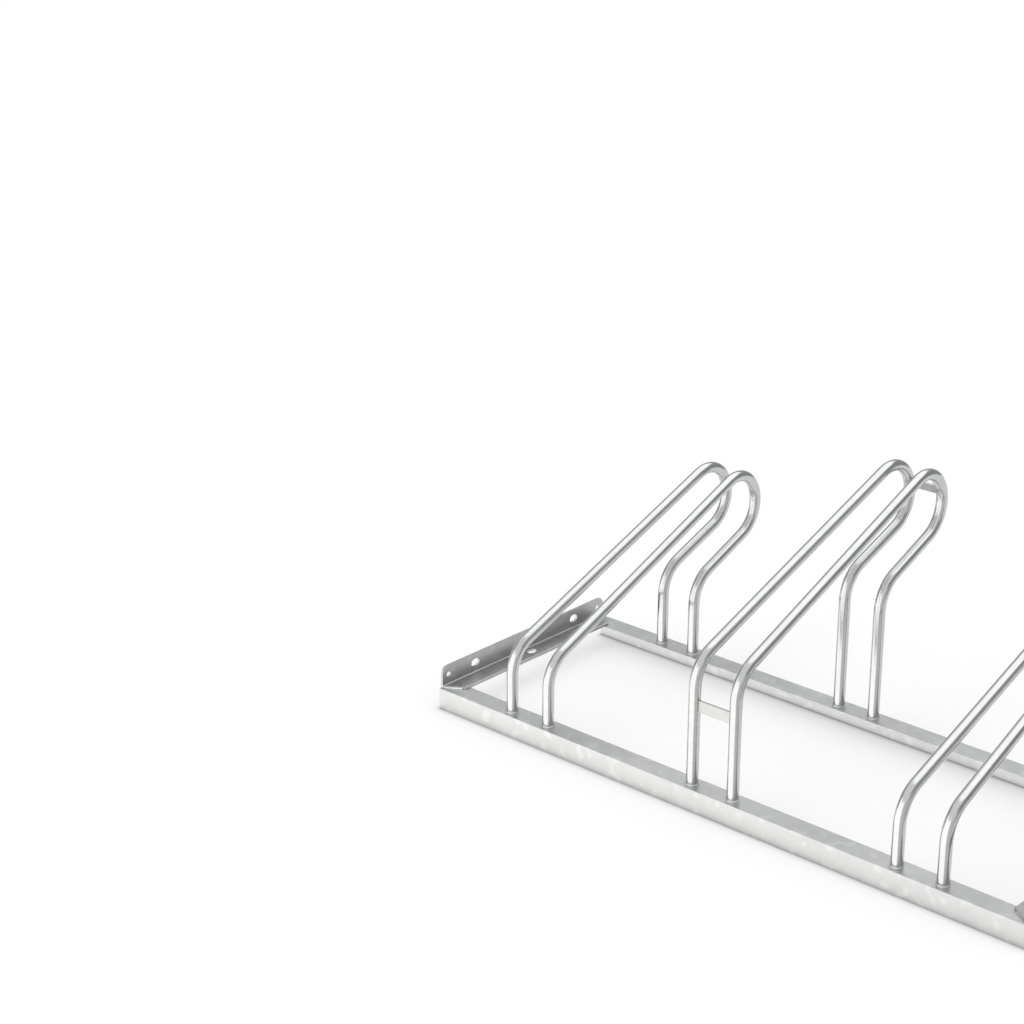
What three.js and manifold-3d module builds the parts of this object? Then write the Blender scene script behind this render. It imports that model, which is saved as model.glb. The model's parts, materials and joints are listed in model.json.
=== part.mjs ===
// Floor bike rack: bent steel tube bows, welded in pairs to two angle rails that an end
// bracket ties together at each end. Low and high places take turns along the rails.
// Millimetres, +Z up, +X along the rails. The front, where the places are open, is at -Y.
import * as THREE from 'three';
import { mergeVertices } from 'three/addons/utils/BufferGeometryUtils.js';
import manifold from 'manifold-3d';

const wasm = await manifold();
wasm.setup();

// ---- Driving dimensions -------------------------------------------------------------

// Places along the rack.
const places = 3;
const pitch = 350;

// Rails: rolled steel angle, one leg on the floor and the other one as the top.
const railHeight = 35;
const railWidth = 35;
const railSteel = 4;
const rackDepth = 390;
const rootRadius = 4;
const toeRadius = 2;

// Bows: round tube, bent in one plane.
const tubeDiameter = 18;
const tubeWall = 2;
const bendRadius = 54;
const runSlope = 21.5;
const runLength = 470;
const lowShoulder = 98;
const highShoulder = 187.5;
const frontGap = 55;
const rearGap = 45;

// Flat bars between the two bows of a high place.
const restBarHeight = 18;
const restBarSteel = 4;
const restBarUnderside = 116;
const stopBarWidth = 15;
const stopBarSteel = 4;
const stopBarInset = 5;

// End brackets: angle that lies on the rails, with the upright leg outside.
const bracketFloorLeg = 35;
const bracketUprightLeg = 35;
const bracketSteel = 4;
const bracketInset = 3;
const mitreRun = 22;
const uprightCorner = 12;
const slotLength = 18;
const slotWidth = 12.5;
const slotFromEnd = 74.5;
const boltHole = 9;
const boltHoleFromEnd = 14;

// Weld beads.
const footBeadLeg = 2.5;
const footBeadHeight = 3.8;
const mitreBeadLeg = 3;
const mitreBeadEnd = 6;

// Clearance between curved faces that meet.
const weldGap = 0.3;

// Facets: sides of a tube, degrees in a step of a bend, and half the facets of a corner or
// half circle.
const tubeSides = 16;
const bendStep = 15;
const cornerFacets = 2;

// ---- Followers ----------------------------------------------------------------------

const tubeRadius = tubeDiameter / 2;
const boreRadius = tubeRadius - tubeWall;
const rackLength = places * pitch;
const legLine = railWidth / 2;
const legSpan = rackDepth - railWidth;
const frontSpacing = frontGap + tubeDiameter;
const rearSpacing = rearGap + tubeDiameter;
const toeIn = Math.atan((frontSpacing - rearSpacing) / 2 / legSpan);
const slope = THREE.MathUtils.degToRad(runSlope);
const shoulderTurn = Math.PI / 2 - slope;
const bendTangent = bendRadius * Math.tan(shoulderTurn / 2);

// Rearmost point of the loops, in the bow's own plane.
const loopCentreDepth = runLength * Math.cos(slope) + bendRadius * Math.sin(slope);
const loopReach = loopCentreDepth + bendRadius + tubeRadius;
const overallDepth = legLine + loopReach * Math.cos(toeIn);

// ---- Finish -------------------------------------------------------------------------

const galvanisedSteel = { color: 0xb4b8ba, metalness: 0.85, roughness: 0.42 };
const weldedZinc = { color: 0xa3a7a9, metalness: 0.8, roughness: 0.55 };

function piece(name, geometry, finish) {
  const mesh = new THREE.Mesh(geometry, new THREE.MeshStandardMaterial(finish));
  mesh.name = name;
  return mesh;
}

// ---- Booleans -----------------------------------------------------------------------

function toSolid(geometry) {
  const bare = geometry.clone();
  bare.deleteAttribute('normal');
  bare.deleteAttribute('uv');
  const welded = mergeVertices(bare, 1e-4);
  return new wasm.Manifold(new wasm.Mesh({
    numProp: 3,
    vertProperties: new Float32Array(welded.attributes.position.array),
    triVerts: new Uint32Array(welded.index.array),
  }));
}

function toGeometry(solid) {
  const mesh = solid.getMesh();
  const geometry = new THREE.BufferGeometry();
  geometry.setAttribute('position', new THREE.BufferAttribute(mesh.vertProperties, 3));
  geometry.setIndex(new THREE.BufferAttribute(mesh.triVerts, 1));
  return geometry;
}

// ---- Shapes that several pieces use --------------------------------------------------

function extrude(shape, depth) {
  return new THREE.ExtrudeGeometry(shape, {
    depth,
    bevelEnabled: false,
    curveSegments: cornerFacets,
  });
}

// Turns a shape drawn as (y, z) and extruded along its own normal so that it runs along +X.
function alongX(geometry) {
  const basis = new THREE.Matrix4().makeBasis(
    new THREE.Vector3(0, 1, 0),
    new THREE.Vector3(0, 0, 1),
    new THREE.Vector3(1, 0, 0),
  );
  return geometry.applyMatrix4(basis);
}

// An oblong, or a round hole where length and width are equal, drawn along the first axis.
function oblong(centreA, centreB, length, width) {
  const radius = width / 2;
  const reach = Math.max(length - width, 0) / 2;
  const hole = new THREE.Path();
  hole.absarc(centreA + reach, centreB, radius, -Math.PI / 2, Math.PI / 2, false);
  hole.absarc(centreA - reach, centreB, radius, Math.PI / 2, 3 * Math.PI / 2, false);
  return hole;
}

// ---- Rails --------------------------------------------------------------------------

// Angle section as (y, z): upright leg at y = 0, top leg reaching towards +y.
function railSection() {
  const section = new THREE.Shape();
  const underTop = railHeight - railSteel;
  section.moveTo(0, 0);
  section.lineTo(railSteel - toeRadius, 0);
  section.absarc(railSteel - toeRadius, toeRadius, toeRadius, -Math.PI / 2, 0, false);
  section.lineTo(railSteel, underTop - rootRadius);
  section.absarc(railSteel + rootRadius, underTop - rootRadius, rootRadius, Math.PI,
    Math.PI / 2, true);
  section.lineTo(railWidth - toeRadius, underTop);
  section.absarc(railWidth - toeRadius, underTop + toeRadius, toeRadius, -Math.PI / 2, 0, false);
  section.lineTo(railWidth, railHeight);
  section.lineTo(0, railHeight);
  return section;
}

function frontRail() {
  const rail = piece('front_rail', alongX(extrude(railSection(), rackLength)), galvanisedSteel);
  rail.position.x = -rackLength / 2;
  return rail;
}

// The same angle turned round, so that its upright leg is at the back.
function rearRail() {
  const rail = piece('rear_rail', alongX(extrude(railSection(), rackLength)), galvanisedSteel);
  rail.position.set(rackLength / 2, rackDepth, 0);
  rail.rotation.z = Math.PI;
  return rail;
}

// ---- Bows ---------------------------------------------------------------------------

// A route in the bow's plane, walked with straight lengths and bends. Each station keeps a
// point (depth, height) and the heading there.
class Route {
  constructor() {
    this.point = new THREE.Vector2(0, 0);
    this.heading = Math.PI / 2;
    this.stations = [];
    this.mark();
  }

  mark() {
    this.stations.push({ point: this.point.clone(), heading: this.heading });
  }

  straight(length) {
    this.point.x += length * Math.cos(this.heading);
    this.point.y += length * Math.sin(this.heading);
    this.mark();
  }

  // A positive turn is to the left.
  bend(turn, radius) {
    const side = Math.sign(turn);
    const steps = Math.ceil(Math.abs(THREE.MathUtils.radToDeg(turn)) / bendStep);
    const chord = 2 * radius * Math.sin(Math.abs(turn) / steps / 2);
    const half = side * Math.abs(turn) / steps / 2;
    for (let step = 0; step < steps; step += 1) {
      this.heading += half;
      this.point.x += chord * Math.cos(this.heading);
      this.point.y += chord * Math.sin(this.heading);
      this.heading += half;
      this.mark();
    }
  }
}

// Front leg, shoulder, long run up to the loop, short run back, rear leg.
function bowRoute(shoulder) {
  const route = new Route();
  route.straight(shoulder - bendTangent);
  route.bend(-shoulderTurn, bendRadius);
  route.straight(runLength - bendTangent);
  route.bend(-Math.PI, bendRadius);
  const span = legSpan / Math.cos(toeIn);
  const backToLeg = (route.point.x - span) / Math.cos(slope);
  route.straight(backToLeg - bendTangent);
  route.bend(shoulderTurn, bendRadius);
  route.straight(route.point.y);
  return route;
}

// The route as a curve that has a ring at each station and none in between.
class BowCurve extends THREE.Curve {
  constructor(stations) {
    super();
    this.stations = stations;
  }

  getUtoTmapping(share) {
    return share;
  }

  getPoint(share, target = new THREE.Vector3()) {
    const { point } = this.stations[Math.round(share * (this.stations.length - 1))];
    return target.set(0, point.x, point.y);
  }

  getTangent(share, target = new THREE.Vector3()) {
    const { heading } = this.stations[Math.round(share * (this.stations.length - 1))];
    return target.set(0, Math.cos(heading), Math.sin(heading));
  }
}

function sweepTube(shoulder, outerRadius, innerRadius) {
  const { stations } = bowRoute(shoulder);
  const section = new THREE.Shape();
  section.absarc(0, 0, outerRadius, 0, 2 * Math.PI, false);
  if (innerRadius > 0) {
    const bore = new THREE.Path();
    bore.absarc(0, 0, innerRadius, 0, 2 * Math.PI, false);
    section.holes.push(bore);
  }
  return new THREE.ExtrudeGeometry(section, {
    steps: stations.length - 1,
    curveSegments: tubeSides / 2,
    bevelEnabled: false,
    extrudePath: new BowCurve(stations),
  });
}

// side is -1 for the left bow of a place and +1 for the right one.
function placeBow(object, side) {
  object.position.set(side * frontSpacing / 2, legLine, railHeight);
  object.rotation.z = side * toeIn;
  return object;
}

function bow(name, shoulder, side) {
  return placeBow(piece(name, sweepTube(shoulder, tubeRadius, boreRadius), galvanisedSteel), side);
}

// Ring of weld round the foot of a leg, with a flat base on the rail and a rounded face.
function footBead(name, x, y) {
  const inner = tubeRadius + weldGap;
  const diagonal = Math.SQRT1_2;
  const profile = [
    new THREE.Vector2(inner, 0),
    new THREE.Vector2(inner + footBeadLeg, 0),
    new THREE.Vector2(inner + footBeadLeg * diagonal, footBeadHeight * diagonal),
    new THREE.Vector2(inner, footBeadHeight),
    new THREE.Vector2(inner, 0),
  ];
  const ring = new THREE.LatheGeometry(profile, tubeSides).rotateX(Math.PI / 2);
  const bead = piece(name, ring, weldedZinc);
  bead.position.set(x, y, railHeight);
  return bead;
}

// ---- Bars of a high place -----------------------------------------------------------

// The tubes of a pair of bows, as thick as they are with the clearance, to cut a bar's ends.
function pairCutter(shoulder) {
  const cutters = [-1, 1].map((side) => {
    const tube = placeBow(new THREE.Object3D(), side);
    tube.updateMatrix();
    return toSolid(sweepTube(shoulder, tubeRadius + weldGap, 0).applyMatrix4(tube.matrix));
  });
  return cutters[0].add(cutters[1]);
}

// Across the front legs: it carries what stands in a high place.
function wheelRestBar(name) {
  const bar = new THREE.BoxGeometry(frontSpacing, restBarSteel, restBarHeight);
  bar.translate(0, legLine, railHeight + restBarUnderside + restBarHeight / 2);
  const cut = toSolid(bar).subtract(pairCutter(highShoulder));
  return piece(name, toGeometry(cut), galvanisedSteel);
}

// Across the loops: the stop at the far end of a high place.
function wheelStopBar(name) {
  const reach = bendRadius - stopBarInset;
  const depth = (loopCentreDepth + reach * Math.cos(slope)) * Math.cos(toeIn);
  const height = highShoulder + runLength * Math.sin(slope) - bendRadius * Math.cos(slope)
    + reach * Math.sin(slope);
  const spacing = frontSpacing - 2 * depth * Math.tan(toeIn);
  const bar = new THREE.BoxGeometry(spacing, stopBarSteel, stopBarWidth);
  bar.rotateX(slope);
  bar.translate(0, legLine + depth, railHeight + height);
  const cut = toSolid(bar).subtract(pairCutter(highShoulder));
  return piece(name, toGeometry(cut), galvanisedSteel);
}

// ---- One place ----------------------------------------------------------------------

function place(number) {
  const group = new THREE.Group();
  const high = number % 2 === 0;
  const shoulder = high ? highShoulder : lowShoulder;
  for (const [side, hand] of [[-1, 'left'], [1, 'right']]) {
    group.add(bow(`${high ? 'high' : 'low'}_bow_${number}_${hand}`, shoulder, side));
    group.add(footBead(`front_foot_weld_${number}_${hand}`, side * frontSpacing / 2, legLine));
    group.add(footBead(`rear_foot_weld_${number}_${hand}`, side * rearSpacing / 2,
      legLine + legSpan));
  }
  if (high) {
    group.add(wheelRestBar(`wheel_rest_bar_${number}`));
    group.add(wheelStopBar(`wheel_stop_bar_${number}`));
  }
  group.position.x = (number - (places + 1) / 2) * pitch;
  return group;
}

// ---- End brackets -------------------------------------------------------------------

const bracketLength = rackDepth - 2 * bracketInset;

// Flat leg as (x, y), seen from above, with its outer edge at x = 0.
function floorLeg() {
  const leg = new THREE.Shape();
  leg.moveTo(0, 0);
  leg.lineTo(bracketFloorLeg, mitreRun);
  leg.lineTo(bracketFloorLeg, bracketLength - mitreRun);
  leg.lineTo(0, bracketLength);
  const anchor = oblong(bracketLength / 2, -bracketFloorLeg / 2, slotLength, slotWidth);
  leg.holes.push(new THREE.Path(anchor.getPoints(cornerFacets * 2)
    .map((point) => new THREE.Vector2(-point.y, point.x))));
  return extrude(leg, bracketSteel);
}

// Upright leg as (y, z), with rounded top corners, a round hole and an oblong at each end.
function uprightLeg() {
  const leg = new THREE.Shape();
  leg.moveTo(0, 0);
  leg.lineTo(bracketLength, 0);
  leg.lineTo(bracketLength, bracketUprightLeg - uprightCorner);
  leg.absarc(bracketLength - uprightCorner, bracketUprightLeg - uprightCorner, uprightCorner,
    0, Math.PI / 2, false);
  leg.absarc(uprightCorner, bracketUprightLeg - uprightCorner, uprightCorner,
    Math.PI / 2, Math.PI, false);
  const holeLine = (bracketSteel + bracketUprightLeg) / 2;
  for (const fromEnd of [boltHoleFromEnd, bracketLength - boltHoleFromEnd]) {
    leg.holes.push(oblong(fromEnd, holeLine, boltHole, boltHole));
  }
  for (const fromEnd of [slotFromEnd, bracketLength - slotFromEnd]) {
    leg.holes.push(oblong(fromEnd, holeLine, slotLength, slotWidth));
  }
  return alongX(new THREE.ExtrudeGeometry(leg, {
    depth: bracketSteel,
    bevelEnabled: false,
    curveSegments: cornerFacets * 2,
  }));
}

// Rounded inside corner between the two legs, as (x, z), running along +y between the mitres.
function rootFillet() {
  const corner = bracketSteel + rootRadius;
  const section = new THREE.Shape();
  section.moveTo(bracketSteel, bracketSteel);
  section.lineTo(corner, bracketSteel);
  section.absarc(corner, corner, rootRadius, -Math.PI / 2, -Math.PI, true);
  const start = mitreRun * corner / bracketFloorLeg;
  const fillet = extrude(section, bracketLength - 2 * start).rotateX(Math.PI / 2);
  return fillet.translate(0, bracketLength - start, 0);
}

function bracketGeometry() {
  return toSolid(floorLeg()).add(toSolid(uprightLeg())).add(toSolid(rootFillet()));
}

// Weld along a mitred end, on the rail: a three-sided bead against the cut edge.
function mitreBead() {
  const section = new THREE.Shape();
  section.moveTo(0, 0);
  section.lineTo(0, bracketSteel);
  section.lineTo(-mitreBeadLeg, 0);
  const cutLength = Math.hypot(bracketFloorLeg, mitreRun);
  const bead = alongX(extrude(section, cutLength - 2 * mitreBeadEnd));
  bead.translate(mitreBeadEnd, 0, 0);
  return bead.rotateZ(Math.atan2(mitreRun, bracketFloorLeg));
}

// One end of the rack: the bracket and its two beads. The right end is the left one turned round,
// so its first bead lies at the rear.
function rackEnd(hand) {
  const [first, second] = hand === 'left' ? ['front', 'rear'] : ['rear', 'front'];
  const group = new THREE.Group();
  const bracket = piece(`${hand}_end_bracket`, toGeometry(bracketGeometry()), galvanisedSteel);
  bracket.position.set(0, bracketInset, railHeight);
  const firstBead = piece(`${hand}_bracket_${first}_weld`, mitreBead(), weldedZinc);
  firstBead.position.set(0, bracketInset, railHeight);
  const mirrored = toGeometry(toSolid(mitreBead()).mirror([0, 1, 0]));
  const secondBead = piece(`${hand}_bracket_${second}_weld`, mirrored, weldedZinc);
  secondBead.position.set(0, rackDepth - bracketInset, railHeight);
  group.add(bracket, firstBead, secondBead);
  group.position.x = -rackLength / 2;
  if (hand === 'right') {
    group.rotation.z = Math.PI;
    group.position.set(rackLength / 2, rackDepth, 0);
  }
  return group;
}

// ---- The rack -----------------------------------------------------------------------

const rack = new THREE.Group();
rack.add(frontRail(), rearRail(), rackEnd('left'), rackEnd('right'));
for (let number = 1; number <= places; number += 1) {
  rack.add(place(number));
}
rack.position.y = -overallDepth / 2;

const part = new THREE.Group();
part.add(rack);

export default part;
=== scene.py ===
# Floor bike rack in hot-dip galvanised steel: bent tube bows, welded in pairs to two angle rails
# that an end bracket ties together at each end. Metres, +Z up, with the open front at -Y.
import json
import math

import bmesh
import bpy
from mathutils import Matrix, Vector

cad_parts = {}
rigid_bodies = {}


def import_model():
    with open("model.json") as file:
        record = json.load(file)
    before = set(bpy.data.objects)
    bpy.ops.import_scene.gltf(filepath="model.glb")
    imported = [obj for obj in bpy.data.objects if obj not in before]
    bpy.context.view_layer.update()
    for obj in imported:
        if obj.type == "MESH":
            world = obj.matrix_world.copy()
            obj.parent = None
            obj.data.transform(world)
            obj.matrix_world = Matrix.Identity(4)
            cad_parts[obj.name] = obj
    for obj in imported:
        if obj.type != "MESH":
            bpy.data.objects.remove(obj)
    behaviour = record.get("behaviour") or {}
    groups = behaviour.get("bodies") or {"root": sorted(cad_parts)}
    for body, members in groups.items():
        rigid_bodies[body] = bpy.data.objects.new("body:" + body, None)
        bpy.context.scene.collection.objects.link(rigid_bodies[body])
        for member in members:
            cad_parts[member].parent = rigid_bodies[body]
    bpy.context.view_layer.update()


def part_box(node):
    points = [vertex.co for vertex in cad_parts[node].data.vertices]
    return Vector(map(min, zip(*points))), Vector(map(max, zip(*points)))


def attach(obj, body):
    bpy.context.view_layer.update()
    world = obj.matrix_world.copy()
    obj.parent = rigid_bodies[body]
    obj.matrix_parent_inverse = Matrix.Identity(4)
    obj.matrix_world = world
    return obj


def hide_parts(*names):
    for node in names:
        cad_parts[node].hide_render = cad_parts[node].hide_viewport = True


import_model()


# ---- Rails --------------------------------------------------------------------------------
# Two lengths of rolled steel angle, 35 x 35 x 4 mm. The upright leg stands on the floor and the
# other leg is the top that the bows stand on. Rolling leaves a rounded root and rounded toes, and
# sawn ends. Everything is dipped in zinc after welding, which is where the finish comes from.

STEEL = 0.004
ROOT_RADIUS = 0.002
TOE_RADIUS = 0.002
EDGE_RADIUS = 0.0005
ROOT_STEPS = 6
TOE_STEPS = 4
SMOOTH_ANGLE = math.radians(30)
SHARP_ANGLE = math.radians(50)
NEAR = 0.0002
SAME_POINT = 1e-6
STRAIGHT = 0.999
FACING = 0.9
UP = Vector((0, 0, 1))
SIDEWAYS = Vector((1, 0, 0))
DEEP = Vector((0, 1, 0))


class Wire:
    """A shader socket that adds Math nodes when it is used in a sum."""

    def __init__(self, tree, socket):
        self.tree = tree
        self.socket = socket

    def math(self, operation, *others):
        values = dict(enumerate((self, *others)))
        return self.tree.node("ShaderNodeMath", {"operation": operation}, values)[0]

    def __add__(self, other):
        return self.math("ADD", other)

    __radd__ = __add__

    def __sub__(self, other):
        return self.math("SUBTRACT", other)

    def __rsub__(self, other):
        return self.math("MULTIPLY_ADD", -1, other)

    def __mul__(self, other):
        return self.math("MULTIPLY", other)

    __rmul__ = __mul__


class Tree:
    """The node tree of a material or of the world."""

    def __init__(self, owner):
        owner.use_nodes = True
        self.tree = owner.node_tree
        self.tree.nodes.clear()

    def node(self, kind, settings=None, sockets=None):
        """Adds a node, sets it up, and then fills or links its inputs."""
        node = self.tree.nodes.new(kind)
        for name, value in (settings or {}).items():
            setattr(node, name, value)
        for name, value in (sockets or {}).items():
            if isinstance(value, Wire):
                self.tree.links.new(value.socket, node.inputs[name])
            else:
                node.inputs[name].default_value = value
        return Outlets(self, node)


class Outlets:
    """The outputs of a node as wires, by name or number."""

    def __init__(self, tree, node):
        self.tree = tree
        self.node = node

    def __getitem__(self, key):
        return Wire(self.tree, self.node.outputs[key])


CLOUDS_PER_METRE = 22.0
PATCHES_PER_METRE = 110.0
BLOTS_PER_METRE = 62.0
BLOT_STARTS = 0.61
BLOT_FULL = 0.80
CRYSTAL_SHARE = 0.25
CLOUD_SHARE = 0.9
PATCH_SHARE = 0.5
TONE_DROP = 0.33
SKIN_HEIGHT = 0.0004


def zinc(name, dull, bright, gloss, spangle, relief, blots=0.0):
    """Zinc coat: crystals of different brightness, cloudy patches and a slightly uneven skin.
    gloss is (roughness, spread), spangle is the size of a crystal, relief is how uneven the skin
    is, and blots is how much the white spots stand out where the zinc has run."""
    material = bpy.data.materials.new(name)
    tree = Tree(material)
    place = tree.node("ShaderNodeTexCoord")["Object"]
    crystals = tree.node(
        "ShaderNodeTexVoronoi",
        {"feature": "F1", "distance": "EUCLIDEAN"},
        {"Vector": place, "Scale": 1 / spangle, "Randomness": 1.0},
    )[1]
    crystal = tree.node("ShaderNodeSeparateColor", {}, {0: crystals})[0]

    def noise(scale, detail, roughness):
        values = {"Vector": place, "Scale": scale, "Detail": detail, "Roughness": roughness}
        return tree.node("ShaderNodeTexNoise", {}, values)[0]

    cloud = noise(CLOUDS_PER_METRE, detail=4.0, roughness=0.6)
    patch = noise(PATCHES_PER_METRE, detail=3.0, roughness=0.55)
    spots = noise(BLOTS_PER_METRE, detail=0.0, roughness=0.5)
    blot = tree.node(
        "ShaderNodeMapRange",
        {"interpolation_type": "SMOOTHSTEP"},
        {"Value": spots, "From Min": BLOT_STARTS, "From Max": BLOT_FULL},
    )[0]
    mottle = CRYSTAL_SHARE * crystal + CLOUD_SHARE * cloud + PATCH_SHARE * patch
    tone = mottle + blots * blot - TONE_DROP
    colour = tree.node(
        "ShaderNodeMix", {"data_type": "RGBA"}, {0: tone, 6: (*dull, 1.0), 7: (*bright, 1.0)}
    )[2]
    roughness, spread = gloss
    rough = roughness + spread * (patch - 0.5) + 0.5 * spread * (crystal - 0.5)
    bump = tree.node(
        "ShaderNodeBump", {}, {"Strength": relief, "Distance": SKIN_HEIGHT, "Height": patch}
    )[0]
    shader = tree.node(
        "ShaderNodeBsdfPrincipled",
        {},
        {"Base Color": colour, "Metallic": 1.0, "Roughness": rough, "Normal": bump},
    )[0]
    tree.node("ShaderNodeOutputMaterial", {}, {"Surface": shader})
    return material


def only(piece):
    """Makes piece the one selected and active object."""
    bpy.ops.object.select_all(action="DESELECT")
    piece.select_set(True)
    bpy.context.view_layer.objects.active = piece


def open_up(name):
    """Names the primitive just added, settles its place in its mesh and opens it for editing."""
    piece = bpy.context.object
    piece.name = name
    only(piece)
    bpy.ops.object.transform_apply(location=True, rotation=True, scale=True)
    bpy.ops.object.mode_set(mode="EDIT")
    return piece


def add_block(name, low, high, tilt=0.0):
    """A block between two corners, tilted up at the back and open for editing."""
    bpy.ops.object.select_all(action="DESELECT")
    bpy.ops.mesh.primitive_cube_add(
        size=1, location=(low + high) / 2, rotation=(tilt, 0, 0), scale=high - low
    )
    return open_up(name)


def pick(piece, what, test):
    """Selects what passes the test, and nothing else: what is VERT, EDGE or FACE."""
    bpy.ops.mesh.select_mode(type=what)
    bpy.ops.mesh.select_all(action="DESELECT")
    mesh = bmesh.from_edit_mesh(piece.data)
    for part in {"VERT": mesh.verts, "EDGE": mesh.edges, "FACE": mesh.faces}[what]:
        if test(part):
            part.select_set(True)
    bmesh.update_edit_mesh(piece.data)


def along(axis, **place):
    """Tests for an edge that runs along axis through the given places, such as x=0 or z=0.1."""

    def test(edge):
        ends = [vert.co for vert in edge.verts]
        straight = abs((ends[1] - ends[0]).normalized().dot(axis)) > STRAIGHT
        return straight and all(
            abs(getattr(end, name) - value) < NEAR for end in ends for name, value in place.items()
        )

    return test


def round_edges(piece, test, radius, steps):
    """Rounds the edges that pass the test, or fills them where they are inside corners."""
    pick(piece, "EDGE", test)
    bpy.ops.mesh.bevel(
        offset=radius, offset_type="OFFSET", segments=steps, profile=0.5, affect="EDGES"
    )


def modify(piece, kind, **settings):
    """Adds a modifier and applies it."""
    only(piece)
    modifier = piece.modifiers.new(kind.title(), kind)
    for name, value in settings.items():
        setattr(modifier, name, value)
    bpy.ops.object.modifier_apply(modifier=modifier.name)


def close_up(piece, smooth=SMOOTH_ANGLE):
    """Leaves edit mode with clean outward faces and smooth shading across shallow edges."""
    bpy.ops.mesh.select_all(action="SELECT")
    bpy.ops.mesh.remove_doubles(threshold=SAME_POINT)
    bpy.ops.mesh.normals_make_consistent(inside=False)
    bpy.ops.object.mode_set(mode="OBJECT")
    only(piece)
    bpy.ops.object.shade_smooth_by_angle(angle=smooth)


def ease_edges(piece, radius, steps=2):
    """Takes the sharpness off every edge that is left, and keeps the flats flat in the light."""
    modify(
        piece,
        "BEVEL",
        width=radius,
        segments=steps,
        limit_method="ANGLE",
        angle_limit=SHARP_ANGLE,
    )
    modify(piece, "WEIGHTED_NORMAL", mode="FACE_AREA", weight=100, keep_sharp=True)


def copy_of(piece, name, place):
    """A copy with its own mesh, moved or turned by the matrix place."""
    twin = piece.copy()
    twin.data = piece.data.copy()
    twin.name = name
    twin.data.transform(place)
    bpy.context.collection.objects.link(twin)
    return twin


def seat(piece, node, material):
    """Gives piece its finish and lets it stand for a node of the frame."""
    piece.data.materials.clear()
    piece.data.materials.append(material)
    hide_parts(node)
    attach(piece, "root")


angle_zinc = zinc(
    "zinc_on_angle",
    dull=(0.495, 0.50, 0.50),
    bright=(0.605, 0.61, 0.61),
    gloss=(0.42, 0.12),
    spangle=0.009,
    relief=0.05,
    blots=0.8,
)

front_low, front_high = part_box("front_rail")
rear_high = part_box("rear_rail")[1]
rail_top = front_high.z

front_rail = add_block(
    "front_rail_angle", Vector((front_low.x, front_low.y, rail_top - STEEL)), front_high
)
bpy.ops.mesh.bisect(plane_co=(0, front_low.y + STEEL, 0), plane_no=DEEP)
pick(
    front_rail,
    "FACE",
    lambda face: face.normal.z < -FACING and face.calc_center_median().y < front_low.y + STEEL,
)
bpy.ops.mesh.extrude_region_move(TRANSFORM_OT_translate={"value": -UP * (rail_top - STEEL)})
bpy.ops.mesh.select_all(action="SELECT")
bpy.ops.mesh.remove_doubles(threshold=SAME_POINT)
round_edges(
    front_rail, along(SIDEWAYS, y=front_low.y + STEEL, z=rail_top - STEEL), ROOT_RADIUS, ROOT_STEPS
)
round_edges(front_rail, along(SIDEWAYS, y=front_low.y + STEEL, z=0), TOE_RADIUS, TOE_STEPS)
round_edges(
    front_rail, along(SIDEWAYS, y=front_high.y, z=rail_top - STEEL), TOE_RADIUS, TOE_STEPS
)
close_up(front_rail)
ease_edges(front_rail, EDGE_RADIUS)

middle = Vector((0, (front_low.y + rear_high.y) / 2, 0))
half_turn = (
    Matrix.Translation(middle) @ Matrix.Rotation(math.pi, 4, "Z") @ Matrix.Translation(-middle)
)
rear_rail = copy_of(front_rail, "rear_rail_angle", half_turn)
seat(front_rail, "front_rail", angle_zinc)
seat(rear_rail, "rear_rail", angle_zinc)


# ---- End brackets -------------------------------------------------------------------------
# The same angle, laid on top of both rails and tied to them by welds. Its floor leg is cut back at
# a slant over the rails and has an oblong for a floor anchor. Its upright leg has rounded corners
# and punched holes, round and oblong, where the next rack is bolted on.

MITRE_RUN = 0.022
CORNER_RADIUS = 0.012
CORNER_STEPS = 12
OBLONG_LENGTH = 0.018
OBLONG_WIDTH = 0.0125
OBLONG_FROM_END = 0.0745
ROUND_HOLE = 0.009
ROUND_FROM_END = 0.014
HOLE_SIDES = 40


def punch(piece, centre, through, length, width):
    """Punches an oblong, or a round hole where length and width are equal. Its length runs
    along the rack's depth, and through is the axis of the punch."""
    bpy.ops.object.select_all(action="DESELECT")
    bpy.ops.mesh.primitive_cylinder_add(
        vertices=HOLE_SIDES,
        radius=width / 2,
        depth=4 * STEEL,
        location=centre,
        rotation=UP.rotation_difference(through).to_euler(),
    )
    tool = open_up("punch")
    reach = (length - width) / 2
    if reach > 0:
        for way in (-1, 1):
            pick(tool, "VERT", lambda vert, way=way: way * (vert.co.y - centre.y) > NEAR)
            bpy.ops.transform.translate(value=DEEP * way * reach)
    bpy.ops.object.mode_set(mode="OBJECT")
    modify(piece, "BOOLEAN", operation="DIFFERENCE", solver="EXACT", object=tool)
    bpy.data.objects.remove(tool)


# The zinc again, darkened as painted shade, for the end brackets and the stop bar.
shade_darkened_zinc = zinc(
    "shade_darkened_zinc",
    dull=(0.40, 0.40, 0.395),
    bright=(0.53, 0.53, 0.525),
    gloss=(0.36, 0.14),
    spangle=0.008,
    relief=0.06,
    blots=0.3,
)

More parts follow.
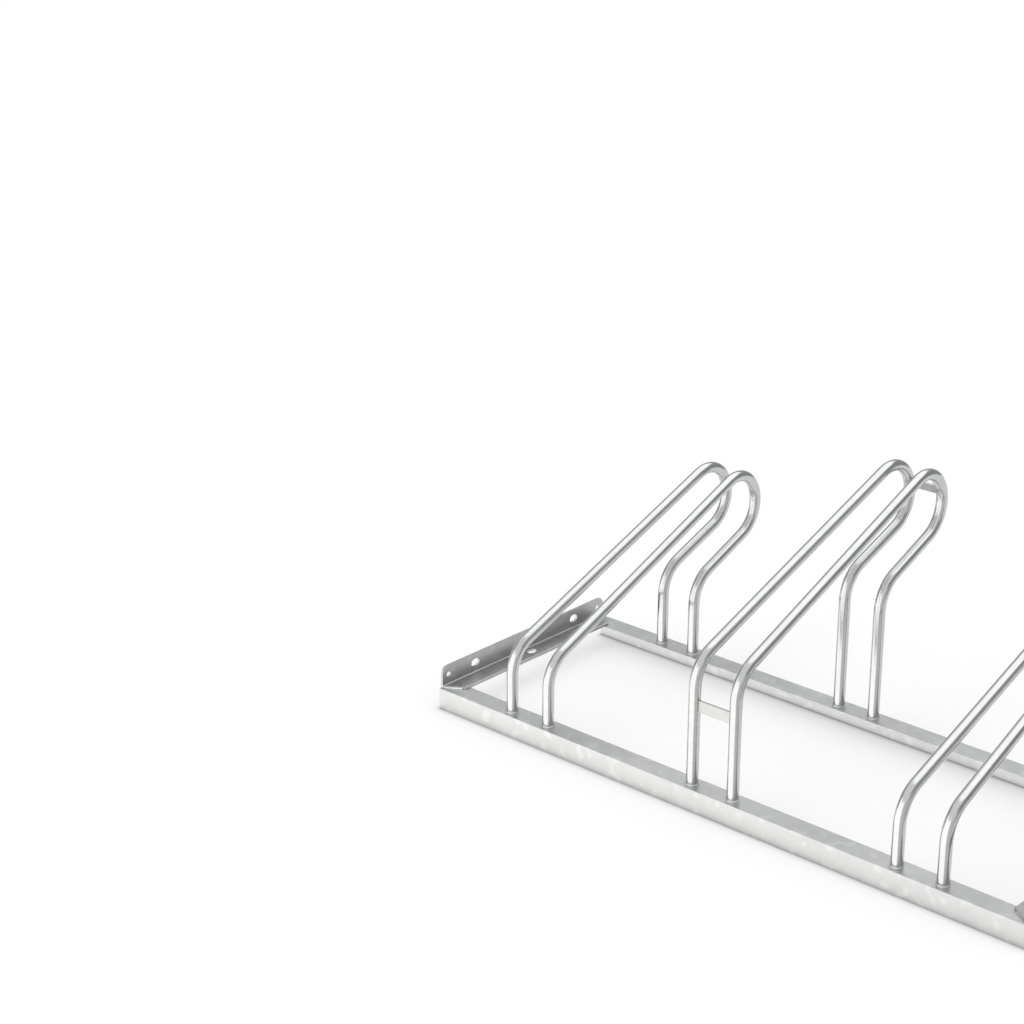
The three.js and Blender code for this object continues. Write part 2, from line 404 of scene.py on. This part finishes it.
low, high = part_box("left_end_bracket")
end_bracket = add_block("left_end_angle", low, Vector((high.x, high.y, low.z + STEEL)))
bpy.ops.mesh.bisect(plane_co=(low.x + STEEL, 0, 0), plane_no=SIDEWAYS)
pick(
    end_bracket,
    "FACE",
    lambda face: face.normal.z > FACING and face.calc_center_median().x < low.x + STEEL,
)
bpy.ops.mesh.extrude_region_move(TRANSFORM_OT_translate={"value": UP * (high.z - low.z - STEEL)})
bpy.ops.mesh.select_all(action="SELECT")
bpy.ops.mesh.remove_doubles(threshold=SAME_POINT)
for end, way in ((low.y, 1), (high.y, -1)):
    pick(
        end_bracket,
        "VERT",
        lambda vert, end=end: abs(vert.co.y - end) < NEAR and abs(vert.co.x - high.x) < NEAR,
    )
    bpy.ops.transform.translate(value=DEEP * way * MITRE_RUN)
    round_edges(end_bracket, along(SIDEWAYS, y=end, z=high.z), CORNER_RADIUS, CORNER_STEPS)
round_edges(end_bracket, along(DEEP, x=low.x + STEEL, z=low.z + STEEL), ROOT_RADIUS, ROOT_STEPS)
round_edges(end_bracket, along(DEEP, x=high.x, z=low.z + STEEL), TOE_RADIUS, TOE_STEPS)
close_up(end_bracket)

hole_height = (low.z + STEEL + high.z) / 2
upright_centre = low.x + STEEL / 2
for end, way in ((low.y, 1), (high.y, -1)):
    punch(
        end_bracket,
        Vector((upright_centre, end + way * ROUND_FROM_END, hole_height)),
        SIDEWAYS,
        ROUND_HOLE,
        ROUND_HOLE,
    )
    punch(
        end_bracket,
        Vector((upright_centre, end + way * OBLONG_FROM_END, hole_height)),
        SIDEWAYS,
        OBLONG_LENGTH,
        OBLONG_WIDTH,
    )
anchor = Vector(((low.x + high.x) / 2, (low.y + high.y) / 2, low.z + STEEL / 2))
punch(end_bracket, anchor, UP, OBLONG_LENGTH, OBLONG_WIDTH)
ease_edges(end_bracket, EDGE_RADIUS)

right_bracket = copy_of(end_bracket, "right_end_angle", half_turn)
# The brackets take the darkened zinc, which is painted shade.
seat(end_bracket, "left_end_bracket", shade_darkened_zinc)
seat(right_bracket, "right_end_bracket", shade_darkened_zinc)


# ---- Bows ---------------------------------------------------------------------------------
# Precision steel tube, 18 mm across with a 2 mm wall, bent in one plane on one former. It goes up
# the front leg, over a shoulder into the long sloping run, round the loop, back down a short run
# and into the rear leg. Both feet stand square on the rails.

TUBE = 0.018
WALL = 0.002
BEND_RADIUS = 0.054
RUN_SLOPE = math.radians(21.5)
RUN_LENGTH = 0.470
TUBE_SIDES = 40
BEND_STEP = math.radians(4.5)
PLACES = (1, 2, 3)

tube_zinc = zinc(
    "zinc_on_tube",
    dull=(0.50, 0.505, 0.505),
    bright=(0.585, 0.59, 0.585),
    gloss=(0.18, 0.03),
    spangle=0.006,
    relief=0.01,
)


def foot(row, number, hand):
    """Centre of a leg where it stands on its rail: row is front or rear."""
    low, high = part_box(f"{row}_foot_weld_{number}_{hand}")
    return Vector(((low.x + high.x) / 2, (low.y + high.y) / 2, low.z))


def bend(turn, heading):
    """Bends the open end of the tube up or down by turn, and says where it then heads."""
    mesh = bmesh.from_edit_mesh(bpy.context.object.data)
    end = [vert.co for vert in mesh.verts if vert.select]
    here = sum(end, Vector()) / len(end)
    side = math.copysign(BEND_RADIUS, turn)
    centre = here + side * Vector((0, -math.sin(heading), math.cos(heading)))
    bpy.ops.mesh.spin(
        steps=math.ceil(abs(turn) / BEND_STEP),
        angle=-turn,
        center=centre,
        axis=SIDEWAYS,
    )
    return heading + turn


def go_straight(length, heading):
    """Draws the open end of the tube out straight."""
    step = Vector((0, math.cos(heading), math.sin(heading))) * length
    bpy.ops.mesh.extrude_edges_move(TRANSFORM_OT_translate={"value": step})


def bend_bow(name, shoulder, span):
    """A bow with its front foot at the origin. shoulder is how high the leg and the run meet, and
    span is the distance between the feet."""
    tangent = BEND_RADIUS * math.tan((math.pi / 2 - RUN_SLOPE) / 2)
    bpy.ops.object.select_all(action="DESELECT")
    bpy.ops.mesh.primitive_circle_add(vertices=TUBE_SIDES, radius=TUBE / 2, location=(0, 0, 0))
    bow = open_up(name)
    bpy.ops.mesh.select_all(action="SELECT")
    heading = math.pi / 2
    go_straight(shoulder - tangent, heading)
    heading = bend(RUN_SLOPE - heading, heading)
    go_straight(RUN_LENGTH - tangent, heading)
    heading = bend(-math.pi, heading)
    loop_end = RUN_LENGTH * math.cos(RUN_SLOPE) + 2 * BEND_RADIUS * math.sin(RUN_SLOPE)
    run_end = shoulder + RUN_LENGTH * math.sin(RUN_SLOPE)
    loop_height = run_end - 2 * BEND_RADIUS * math.cos(RUN_SLOPE)
    back = (loop_end - span) / math.cos(RUN_SLOPE)
    go_straight(back - tangent, heading)
    bend(math.pi / 2 - RUN_SLOPE, heading)
    knee = loop_height - back * math.sin(RUN_SLOPE)
    go_straight(knee - tangent, -math.pi / 2)
    close_up(bow)
    modify(bow, "SOLIDIFY", thickness=WALL, offset=-1)
    bpy.ops.object.shade_smooth_by_angle(angle=SMOOTH_ANGLE)
    return bow


front_foot = foot("front", 2, "left")
rear_foot = foot("rear", 2, "left")
span = (rear_foot - front_foot).length
loop_middle = RUN_LENGTH * math.sin(RUN_SLOPE) - BEND_RADIUS * math.cos(RUN_SLOPE)
shoulder_to_top = loop_middle + BEND_RADIUS + TUBE / 2
for number in PLACES:
    kind = "high" if number == 2 else "low"
    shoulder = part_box(f"{kind}_bow_{number}_left")[1].z - rail_top - shoulder_to_top
    pattern = bend_bow("bow_pattern", shoulder, span)
    for hand in ("left", "right"):
        stand = foot("front", number, hand)
        away = foot("rear", number, hand) - stand
        toe_in = math.atan2(-away.x, away.y)
        set_up = Matrix.Translation(stand) @ Matrix.Rotation(toe_in, 4, "Z")
        bow = copy_of(pattern, f"{kind}_bow_{number}_{hand}_tube", set_up)
        seat(bow, f"{kind}_bow_{number}_{hand}", tube_zinc)
    bpy.data.objects.remove(pattern)


# ---- Foot welds ---------------------------------------------------------------------------
# A narrow ring of weld metal where each leg stands on its rail, laid by hand in one pass, so it
# has fine ripples across it. The zinc runs over it and leaves it a little rougher.

BEAD = 0.0012
BEAD_LIFT = 0.0005
BEAD_SIDES = 16
RIPPLE = 0.00010
RIPPLES = 34
BEAD_SMOOTH_ANGLE = math.radians(60)

weld_zinc = zinc(
    "zinc_on_weld",
    dull=(0.50, 0.51, 0.515),
    bright=(0.76, 0.77, 0.77),
    gloss=(0.36, 0.14),
    spangle=0.004,
    relief=0.08,
)

bpy.ops.object.select_all(action="DESELECT")
bpy.ops.mesh.primitive_circle_add(
    vertices=BEAD_SIDES,
    radius=BEAD,
    location=(TUBE / 2, 0, BEAD_LIFT),
    rotation=(math.pi / 2, 0, 0),
)
ring = open_up("foot_weld_ring")
bpy.ops.mesh.select_all(action="SELECT")
bpy.ops.mesh.spin(steps=2 * RIPPLES, angle=2 * math.pi, center=(0, 0, 0), axis=UP)
bpy.ops.mesh.select_all(action="SELECT")
bpy.ops.mesh.remove_doubles(threshold=SAME_POINT)
bpy.ops.mesh.normals_make_consistent(inside=False)
half_step = math.pi / RIPPLES
pick(
    ring,
    "VERT",
    lambda vert: round(math.atan2(vert.co.y, vert.co.x) / half_step) % 2 == 0,
)
bpy.ops.transform.shrink_fatten(value=-RIPPLE)
pick(ring, "VERT", lambda vert: vert.co.z < BEAD_LIFT - NEAR)
bpy.ops.transform.resize(value=(1, 1, 0), center_override=(0, 0, 0))
close_up(ring, smooth=BEAD_SMOOTH_ANGLE)
for number in PLACES:
    for hand in ("left", "right"):
        for row in ("front", "rear"):
            stand = Matrix.Translation(foot(row, number, hand))
            # The two welds of a pair start at different places round their legs.
            start = Matrix.Rotation(number + len(hand) + len(row), 4, "Z")
            weld = copy_of(ring, f"{row}_foot_weld_{number}_{hand}_ring", stand @ start)
            seat(weld, f"{row}_foot_weld_{number}_{hand}", weld_zinc)
bpy.data.objects.remove(ring)


# ---- Bars of the high place ---------------------------------------------------------------
# Two short flats, 4 mm thick, with their ends coped to the tubes and welded. The rest bar stands
# on edge between the front legs. The stop bar joins the far ends of the loops, square to the run.

FLAT_EDGE = 0.0008
FLAT_EDGE_STEPS = 3
STOP_WIDTH = 0.015

flat_zinc = zinc(
    "zinc_on_flat",
    dull=(0.44, 0.44, 0.435),
    bright=(0.55, 0.55, 0.54),
    gloss=(0.40, 0.12),
    spangle=0.007,
    relief=0.05,
)


def cope(bar, centre_line):
    """Cuts both ends of a bar to the round of the tubes, and drops what is left in their bores.
    centre_line is how far from the middle of the place the tubes run."""
    for hand in ("left", "right"):
        tube = bpy.data.objects[f"high_bow_2_{hand}_tube"]
        modify(bar, "BOOLEAN", operation="DIFFERENCE", solver="EXACT", object=tube)
    bpy.ops.object.mode_set(mode="EDIT")
    pick(bar, "VERT", lambda vert: abs(vert.co.x) > centre_line - NEAR)
    bpy.ops.mesh.select_linked()
    bpy.ops.mesh.delete(type="VERT")
    bpy.ops.object.mode_set(mode="OBJECT")
    ease_edges(bar, FLAT_EDGE, FLAT_EDGE_STEPS)


low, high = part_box("wheel_rest_bar_2")
rest_bar = add_block(
    "rest_bar_flat",
    Vector((front_foot.x, low.y, low.z)),
    Vector((-front_foot.x, high.y, high.z)),
)
close_up(rest_bar)
cope(rest_bar, -front_foot.x)
seat(rest_bar, "wheel_rest_bar_2", flat_zinc)

low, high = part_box("wheel_stop_bar_2")
centre = (low + high) / 2
narrowing = (front_foot.x - rear_foot.x) / (rear_foot.y - front_foot.y)
tube_line = -front_foot.x + narrowing * (centre.y - front_foot.y)
half = Vector((tube_line, STEEL / 2, STOP_WIDTH / 2))
stop_bar = add_block("stop_bar_flat", centre - half, centre + half, tilt=RUN_SLOPE)
close_up(stop_bar)
cope(stop_bar, tube_line)
# The stop bar takes the darkened zinc too, which is painted shade.
seat(stop_bar, "wheel_stop_bar_2", shade_darkened_zinc)


# ---- Bracket welds ------------------------------------------------------------------------
# One short straight bead along each slanted end of a bracket, on the rail, with the ripples of a
# bead that is laid in one pass. It starts and stops short of the corners.

SEAM_RADIUS = 0.0022
SEAM_LIFT = 0.0009
SEAM_MARGIN = 0.006
SEAM_STEPS = 26
SEAM_RIPPLE = 0.00018
SEAM_TAPER = 0.6

low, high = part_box("left_end_bracket")
slant = Vector((high.x - low.x, MITRE_RUN, 0))
heading = slant.normalized()
seam_length = slant.length - 2 * SEAM_MARGIN
seam_step = seam_length / SEAM_STEPS
seam_start = low + heading * SEAM_MARGIN + UP * SEAM_LIFT
bpy.ops.object.select_all(action="DESELECT")
bpy.ops.mesh.primitive_circle_add(
    vertices=BEAD_SIDES,
    radius=SEAM_RADIUS,
    fill_type="NGON",
    location=seam_start,
    rotation=UP.rotation_difference(heading).to_euler(),
)
seam = open_up("bracket_weld_seam")
bpy.ops.mesh.select_all(action="SELECT")
for step in range(SEAM_STEPS):
    bpy.ops.mesh.extrude_region_move(TRANSFORM_OT_translate={"value": heading * seam_step})


def ring_of(vert):
    """Which ring of the seam vert is on, counted from its start."""
    return round((vert.co - seam_start).dot(heading) / seam_step)


pick(seam, "VERT", lambda vert: ring_of(vert) % 2 == 1)
bpy.ops.transform.shrink_fatten(value=-SEAM_RIPPLE)
for end in (0, SEAM_STEPS):
    pick(seam, "VERT", lambda vert, end=end: ring_of(vert) == end)
    bpy.ops.transform.resize(
        value=[SEAM_TAPER] * 3, center_override=seam_start + heading * seam_step * end
    )
pick(seam, "VERT", lambda vert: vert.co.z < low.z + SEAM_LIFT - NEAR)
bpy.ops.transform.resize(value=(1, 1, 0), center_override=(0, 0, low.z))
close_up(seam, smooth=BEAD_SMOOTH_ANGLE)

seam_middle = Vector((0, (low.y + high.y) / 2, 0))
mirror = (
    Matrix.Translation(seam_middle)
    @ Matrix.Scale(-1, 4, DEEP)
    @ Matrix.Translation(-seam_middle)
)
rear_seam = copy_of(seam, "left_bracket_rear_seam", mirror)
only(rear_seam)
bpy.ops.object.mode_set(mode="EDIT")
close_up(rear_seam, smooth=BEAD_SMOOTH_ANGLE)
seams = {
    "left_bracket_front_weld": seam,
    "left_bracket_rear_weld": rear_seam,
    "right_bracket_rear_weld": copy_of(seam, "right_bracket_rear_seam", half_turn),
    "right_bracket_front_weld": copy_of(rear_seam, "right_bracket_front_seam", half_turn),
}
for node, bead in seams.items():
    seat(bead, node, weld_zinc)


# ---- Floor and surroundings ---------------------------------------------------------------
# A white studio floor, half of its white seen by the camera only, with a painted contact shadow
# beside the uprights. Reflections look through it, dimmed there by painted shade. Curved screens,
# which only they see, give the tubes their bands: grey at the back and right, bright at front
# left.

FLOOR_SIZE = 40.0
FLOOR_PAINT = 0.95
CAMERA_WHITE = 0.5
AMBIENT = 0.93
# How dark and how wide the painted shade beside each upright is, on the floor and in reflections.
CONTACT_SHADE = 0.46
CONTACT_REACH = 0.005
MIRROR_SHADE = 0.7
MIRROR_REACH = 0.013
SCREEN_RADIUS = 4.0
SCREEN_SIDES = 96

bpy.ops.object.select_all(action="DESELECT")
bpy.ops.mesh.primitive_plane_add(size=FLOOR_SIZE, location=(0, 0, 0))
floor = bpy.context.object
floor.name = "studio_floor"
floor_white = bpy.data.materials.new("studio_floor_white")
tree = Tree(floor_white)
path = tree.node("ShaderNodeLightPath")
place = tree.node("ShaderNodeTexCoord")["Object"]
across = tree.node("ShaderNodeSeparateXYZ", {}, {0: place})
past_end = (across[0].math("ABSOLUTE") - front_high.x).math("MAXIMUM", 0)
# Painted shadow: the floor darkens by its distance from each upright, not by the light reaching
# it. mirror_shade is painted shade on what reflections see through the floor there.
contact_shade = 0
mirror_shade = 0
for upright in (front_low.y + STEEL / 2, rear_high.y - STEEL / 2):
    beside = past_end + ((across[1] - upright).math("ABSOLUTE") - STEEL / 2).math("MAXIMUM", 0)
    fade = (-1 / CONTACT_REACH * beside).math("EXPONENT")
    contact_shade = contact_shade + CONTACT_SHADE * fade
    fade = (-1 / MIRROR_REACH * beside).math("EXPONENT")
    mirror_shade = mirror_shade + MIRROR_SHADE * fade
paint = tree.node("ShaderNodeBsdfDiffuse", {}, {"Color": (*[FLOOR_PAINT] * 3, 1.0)})[0]
glow = tree.node("ShaderNodeEmission", {}, {"Color": (1, 1, 1, 1), "Strength": 1.0})[0]
camera_white = CAMERA_WHITE * path["Is Camera Ray"]
open_floor = tree.node("ShaderNodeMixShader", {}, {0: camera_white, 1: paint, 2: glow})[0]
# The painted contact shadow mixes the floor towards this black.
black = tree.node("ShaderNodeBsdfDiffuse", {}, {"Color": (0, 0, 0, 1)})[0]
seen = tree.node("ShaderNodeMixShader", {}, {0: contact_shade, 1: open_floor, 2: black})[0]
clear = tree.node("ShaderNodeBsdfTransparent")[0]
# The painted shade in reflections mixes towards this closed, black transparency.
closed = tree.node("ShaderNodeBsdfTransparent", {}, {"Color": (0, 0, 0, 1)})[0]
beyond = tree.node("ShaderNodeMixShader", {}, {0: mirror_shade, 1: clear, 2: closed})[0]
mirrored = path["Is Glossy Ray"] * (1 - path["Diffuse Depth"].math("MINIMUM", 1))
surface = tree.node("ShaderNodeMixShader", {}, {0: mirrored, 1: seen, 2: beyond})[0]
tree.node("ShaderNodeOutputMaterial", {}, {"Surface": surface})
floor.data.materials.append(floor_white)


def screen(name, turn, low, high, glow, tint):
    """A curved screen round the rack. turn is where it starts and ends, in degrees from +X."""
    bpy.ops.object.select_all(action="DESELECT")
    bpy.ops.mesh.primitive_cylinder_add(
        vertices=SCREEN_SIDES,
        radius=SCREEN_RADIUS,
        depth=high - low,
        end_fill_type="NOTHING",
        location=(0, 0, (low + high) / 2),
    )
    piece = open_up(name)
    start, end = turn

    def outside(face):
        centre = face.calc_center_median()
        return (math.degrees(math.atan2(centre.y, centre.x)) - start) % 360 > end - start

    pick(piece, "FACE", outside)
    bpy.ops.mesh.delete(type="FACE")
    bpy.ops.object.mode_set(mode="OBJECT")
    light = bpy.data.materials.new(name + "_light")
    light.cycles.emission_sampling = "NONE"
    tree = Tree(light)
    shine = tree.node("ShaderNodeEmission", {}, {"Color": (*tint, 1.0), "Strength": glow})[0]
    tree.node("ShaderNodeOutputMaterial", {}, {"Surface": shine})
    piece.data.materials.append(light)
    for kind in ("camera", "diffuse", "transmission", "volume_scatter", "shadow"):
        setattr(piece, f"visible_{kind}", False)


COOL = (0.94, 0.985, 1.0)
WARM = (1.0, 0.997, 0.98)
screen("right_screen", (-20, 90), 0.0, 3.6, 0.38, COOL)
screen("back_screen", (90, 215), 0.0, 2.7, 0.45, COOL)
screen("dim_screen", (-55, 5), -2.7, 2.0, 0.8, WARM)
screen("bright_screen", (-155, -60), -2.7, 2.6, 1.8, WARM)

world = bpy.data.worlds.new("studio")
world.cycles.sampling_method = "NONE"
bpy.context.scene.world = world
tree = Tree(world)
path = tree.node("ShaderNodeLightPath")
backdrop = path["Is Camera Ray"] + path["Is Glossy Ray"] + path["Is Transmission Ray"]
white = tree.node(
    "ShaderNodeBackground",
    {},
    {"Color": (1, 1, 1, 1), "Strength": AMBIENT * path["Is Diffuse Ray"] + backdrop},
)[0]
tree.node("ShaderNodeOutputWorld", {}, {"Surface": white})


# ---- Lamps --------------------------------------------------------------------------------
# Two large soft boxes. The one at the back, high up, is only seen in the zinc, where it makes the
# broad highlights. The low one in front only lights the floor, and reaches under the rails.


def soft_box(name, turn, rise, width, energy):
    """A soft light from the direction turn, in degrees from +X, and rise, in degrees."""
    data = bpy.data.lights.new(name, "SUN")
    data.energy = energy
    data.angle = math.radians(width)
    lamp = bpy.data.objects.new(name, data)
    lamp.rotation_euler = (0, math.radians(90 - rise), math.radians(turn))
    bpy.context.collection.objects.link(lamp)
    return lamp


soft_box("back_box", 90, 60, 70, 0.75).visible_diffuse = False
soft_box("front_box", -120, 32, 60, 1.0).visible_glossy = False


# ---- Camera -------------------------------------------------------------------------------
# Where the picture was taken from, 42.6 degrees round from the front and 21 degrees down. The lens
# is a long one, so that the rack looks much as it does from across a room.

CAMERA_TURN = 42.606
CAMERA_DIP = 21.046
CAMERA_PLACE = (1.82032, -2.65189, 1.61532)
LENS = 83.07

camera_data = bpy.data.cameras.new("camera")
camera_data.sensor_width = 36
camera_data.lens = LENS
camera_data.dof.use_dof = False
camera = bpy.data.objects.new("camera", camera_data)
camera.location = CAMERA_PLACE
camera.rotation_euler = (math.radians(90 - CAMERA_DIP), 0, math.radians(CAMERA_TURN))
bpy.context.collection.objects.link(camera)
bpy.context.scene.camera = camera
bpy.context.scene.view_settings.view_transform = "Standard"
